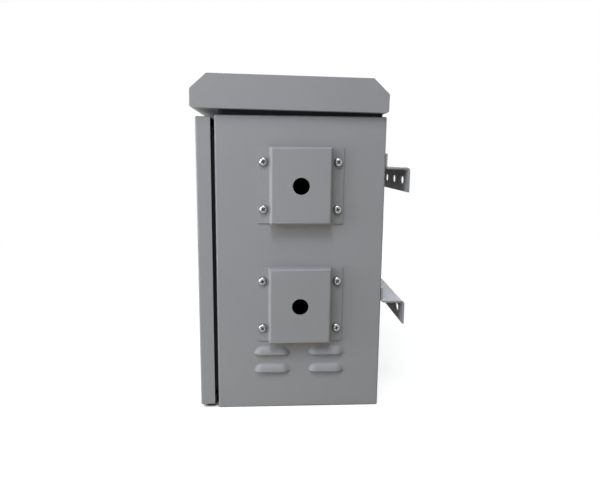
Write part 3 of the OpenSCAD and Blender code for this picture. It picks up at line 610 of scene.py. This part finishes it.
def rounded(name, body, node):
    """Copy of a CAD node with its outer corners eased, standing for the node."""
    grid = bmesh.new()
    grid.from_mesh(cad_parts[node].data)
    bmesh.ops.remove_doubles(grid, verts=grid.verts, dist=WELD)
    bmesh.ops.dissolve_limit(grid, angle_limit=FLAT, verts=grid.verts, edges=grid.edges)
    corners = [e for e in grid.edges if e.is_manifold and e.is_convex and e.calc_face_angle() > CORNER]
    bmesh.ops.bevel(
        grid, geom=corners, offset=EDGE_R, offset_type="OFFSET", segments=EDGE_SEGMENTS, profile=0.5,
        affect="EDGES", clamp_overlap=False, loop_slide=True,
    )
    made = new_object(name, [], [])
    grid.to_mesh(made.data)
    grid.free()
    if node == "body_shell":
        weld(made, louvre_roots())
    if "custom_normal" in made.data.attributes:
        made.data.attributes.remove(made.data.attributes["custom_normal"])
    made.data.materials.clear()
    made.data.materials.append(FINISHES[SLOTS[node]])
    finished(made, body, node)
    made.modifiers.new("weighted_normals", "WEIGHTED_NORMAL").keep_sharp = True


# Sheet metal and castings with eased edges

SHEET = {
    "cabinet": {
        "body_shell": "folded_body",
        "hood": "rain_hood",
        "upper_cable_cover": "upper_cover_plate",
        "lower_cable_cover": "lower_cover_plate",
        "upper_bracket": "upper_z_bracket",
        "lower_bracket": "lower_z_bracket",
        "mounting_plate": "equipment_plate",
        "upper_hinge_frame_leaf": "upper_frame_hinge_half",
        "lower_hinge_frame_leaf": "lower_frame_hinge_half",
    },
    "door": {
        "door_panel": "door_pan",
        "upper_hinge_door_leaf": "upper_door_hinge_half",
        "lower_hinge_door_leaf": "lower_door_hinge_half",
        "lock_housing": "lock_rosette",
    },
    "latch": {"lock_cam": "latch_cam"},
}

for body, names in SHEET.items():
    for node, name in names.items():
        rounded(name, body, node)


# Fasteners with threads, chamfers and cross recesses

def screws(name, body, node, axis, head_height, radius, pitch):
    """Pan-head screws in place of a CAD node, heads towards the axis."""
    boxes = islands(node)
    low, high = boxes[0]
    head_r = max((high - low) * Vector(1 - abs(c) for c in axis)) / 2
    shape = pan_screw(head_r, head_height, radius, length_along(boxes[0], axis) - head_height, pitch)
    shapes = []
    for number, box in enumerate(boxes):
        turn = Matrix.Rotation(SCREW_TURNS[number % len(SCREW_TURNS)], 4, "Z")
        shapes.append((shape, seat(box, axis, end=1) @ Matrix.Translation((0, 0, -head_height)) @ turn))
    piece(name, body, node, shapes)


def nuts(name, body, node, axis, flats, bore):
    """Nuts in place of a CAD node; a solid that is as wide both ways as a flange gets one."""
    shapes = []
    for box in islands(node):
        widths = sorted(w for w, c in zip(box[1] - box[0], axis) if not c)
        flange = widths[0] / 2 if widths[0] > flats + FLANGE_MARGIN else 0.0
        shapes.append((hex_nut(flats, length_along(box, axis), bore, flange), seat(box, axis)))
    piece(name, body, node, shapes)


def bolts(name, body, node, axis):
    """Hexagon bolts in place of a CAD node, heads towards the axis."""
    shapes = []
    for box in islands(node):
        head_foot = seat(box, axis, end=1) @ Matrix.Translation((0, 0, -HEAD_HEIGHT))
        length = length_along(box, axis) - HEAD_HEIGHT
        shapes.append((hex_bolt(HEX_FLATS, HEAD_HEIGHT, THREAD_R, length, THREAD_PITCH), head_foot))
    piece(name, body, node, shapes)


def studs(name, body, node, axis, foot):
    """Threaded studs in place of a CAD node, over the rings of a foot."""
    shapes = []
    for box in islands(node):
        shapes.append((stud(THREAD_R, length_along(box, axis), THREAD_PITCH, foot), seat(box, axis)))
    piece(name, body, node, shapes)


OUT_RIGHT, OUT_LEFT, OUT_FRONT, OUT_REAR = (1, 0, 0), (-1, 0, 0), (0, -1, 0), (0, 1, 0)
UP, DOWN = (0, 0, 1), (0, 0, -1)

for cover in ("upper", "lower"):
    screws(
        f"{cover}_cover_pan_screws", "cabinet", f"{cover}_cover_screws", OUT_RIGHT,
        PAN_HEIGHT, THREAD_R, THREAD_PITCH,
    )
for leaf, body in (("frame", "cabinet"), ("door", "door")):
    screws(
        f"{leaf}_leaf_screws", body, f"hinge_{leaf}_screws", OUT_LEFT,
        SMALL_PAN_HEIGHT, SMALL_THREAD_R, SMALL_PITCH,
    )
    nuts(f"{leaf}_leaf_nuts", body, f"hinge_{leaf}_nuts", OUT_RIGHT, SMALL_FLATS, SMALL_THREAD_R)
bolts("bracket_hex_bolts", "cabinet", "bracket_bolts", OUT_REAR)
bolts("hood_hex_bolts", "cabinet", "hood_bolts", DOWN)
nuts("bracket_hex_nuts", "cabinet", "bracket_nuts", OUT_FRONT, HEX_FLATS, THREAD_R)
nuts("cover_hex_nuts", "cabinet", "cover_weld_nuts", OUT_LEFT, HEX_FLATS, THREAD_R)
nuts("plate_flange_nuts", "cabinet", "plate_nuts", OUT_FRONT, HEX_FLATS, THREAD_R)
nuts("earth_flange_nuts", "cabinet", "earth_nuts", UP, HEX_FLATS, THREAD_R)
studs(
    "plate_spacer_studs", "cabinet", "plate_standoffs", OUT_FRONT,
    [hexagon(HEX_FLATS, 0), hexagon(HEX_FLATS, SPACER_LENGTH, 1), circle(THREAD_R, SPACER_LENGTH)],
)
studs(
    "earth_threaded_stud", "cabinet", "earth_stud", UP,
    [circle(COLLAR_R, 0), circle(COLLAR_R, COLLAR_HEIGHT), circle(THREAD_R, COLLAR_HEIGHT)],
)


# Camera, light and stage

def place_camera():
    forward = Vector((
        -math.cos(YAW_TO_REAR) * math.cos(PITCH_DOWN),
        math.sin(YAW_TO_REAR) * math.cos(PITCH_DOWN),
        -math.sin(PITCH_DOWN),
    ))
    level = Vector((math.sin(YAW_TO_REAR), math.cos(YAW_TO_REAR), 0))
    upright = level.cross(forward)
    right = math.cos(ROLL) * level + math.sin(ROLL) * upright
    up = math.cos(ROLL) * upright - math.sin(ROLL) * level
    camera = bpy.data.objects.new("camera", bpy.data.cameras.new("camera"))
    camera.data.sensor_width = SENSOR_MM
    camera.data.lens = FOCAL_PX / IMAGE_WIDTH_PX * SENSOR_MM
    camera.data.clip_start = CLIP_START
    turned = Matrix((right, up, -forward)).transposed().to_4x4()
    camera.matrix_world = Matrix.Translation(CAMERA_AT) @ turned
    bpy.context.scene.collection.objects.link(camera)
    bpy.context.scene.camera = camera


def area_light(name, at, target, size, watts):
    lamp = bpy.data.lights.new(name, "AREA")
    lamp.shape = "ELLIPSE"
    lamp.size, lamp.size_y = size
    lamp.energy = watts
    lamp.color = DAYLIGHT
    made = bpy.data.objects.new(name, lamp)
    made.location = at
    made.rotation_euler = (Vector(target) - Vector(at)).to_track_quat("-Z", "Y").to_euler()
    bpy.context.scene.collection.objects.link(made)


def seen_directly(nodes, links):
    """Socket that is 1 for rays from the camera and for mirror and glass rays."""
    path = nodes.new("ShaderNodeLightPath")
    total = None
    for name in ("Is Camera Ray", "Is Glossy Ray", "Is Transmission Ray"):
        if total is None:
            total = path.outputs[name]
            continue
        larger = nodes.new("ShaderNodeMath")
        larger.operation = "MAXIMUM"
        links.new(total, larger.inputs[0])
        links.new(path.outputs[name], larger.inputs[1])
        total = larger.outputs[0]
    return total


def light_world():
    world = bpy.data.worlds.new("studio")
    bpy.context.scene.world = world
    world.use_nodes = True
    nodes, links = world.node_tree.nodes, world.node_tree.links
    soft = nodes["Background"]
    soft.inputs["Color"].default_value = WORLD_TINT
    soft.inputs["Strength"].default_value = WORLD_LEVEL
    white = nodes.new("ShaderNodeBackground")
    white.inputs["Color"].default_value = (1, 1, 1, 1)
    white.inputs["Strength"].default_value = WHITE_LEVEL
    mix = nodes.new("ShaderNodeMixShader")
    links.new(seen_directly(nodes, links), mix.inputs[0])
    links.new(soft.outputs[0], mix.inputs[1])
    links.new(white.outputs[0], mix.inputs[2])
    links.new(mix.outputs[0], nodes["World Output"].inputs["Surface"])


def lay_floor():
    """Pale floor that shows as white to the camera and keeps the cabinet's shadow, with painted shade
    where parts crowd it.
    """
    corners = [(x * FLOOR_REACH, y * FLOOR_REACH, 0) for x, y in ((-1, -1), (1, -1), (1, 1), (-1, 1))]
    floor = new_object("floor", corners, [(0, 1, 2, 3)])
    f = Finish("floor")
    nodes, links = f.tree.nodes, f.tree.links
    nodes.remove(f.shader)

    away = f.node("ShaderNodeVectorMath", {0: f.coords}, operation="LENGTH").outputs["Value"]
    shade_open_share = f.node("ShaderNodeAmbientOcclusion", {"Distance": CROWD_REACH}).outputs["AO"]
    pale = f.node("ShaderNodeBsdfDiffuse", {"Color": FLOOR_ALBEDO})
    # Painted shade: the floor's colour and glow fall to black where nearby parts cover it
    shade = f.node("ShaderNodeBsdfDiffuse", {"Color": f.spread(shade_open_share, 0, FLOOR_SHADE, *CROWDED)})
    glow = f.node("ShaderNodeEmission", {"Strength": f.spread(shade_open_share, 0, FLOOR_GLOW, *CROWDED)})
    near = f.node("ShaderNodeAddShader", {0: shade.outputs[0], 1: glow.outputs[0]})
    far = f.node("ShaderNodeEmission", {"Strength": WHITE_LEVEL})
    fade = f.spread(away, 0, 1, FLOOR_NEAR, FLOOR_FAR)
    shown = f.node("ShaderNodeMixShader", {0: fade, 1: near.outputs[0], 2: far.outputs[0]})
    direct = seen_directly(nodes, links)
    mix = f.node("ShaderNodeMixShader", {0: direct, 1: pale.outputs[0], 2: shown.outputs[0]})
    links.new(mix.outputs[0], nodes["Material Output"].inputs["Surface"])
    floor.data.materials.append(f.material)


place_camera()
light_world()
lay_floor()
for name, (at, target, size, watts) in LAMPS.items():
    area_light(name, at, target, size, watts)

bpy.context.scene.view_settings.view_transform = "Standard"
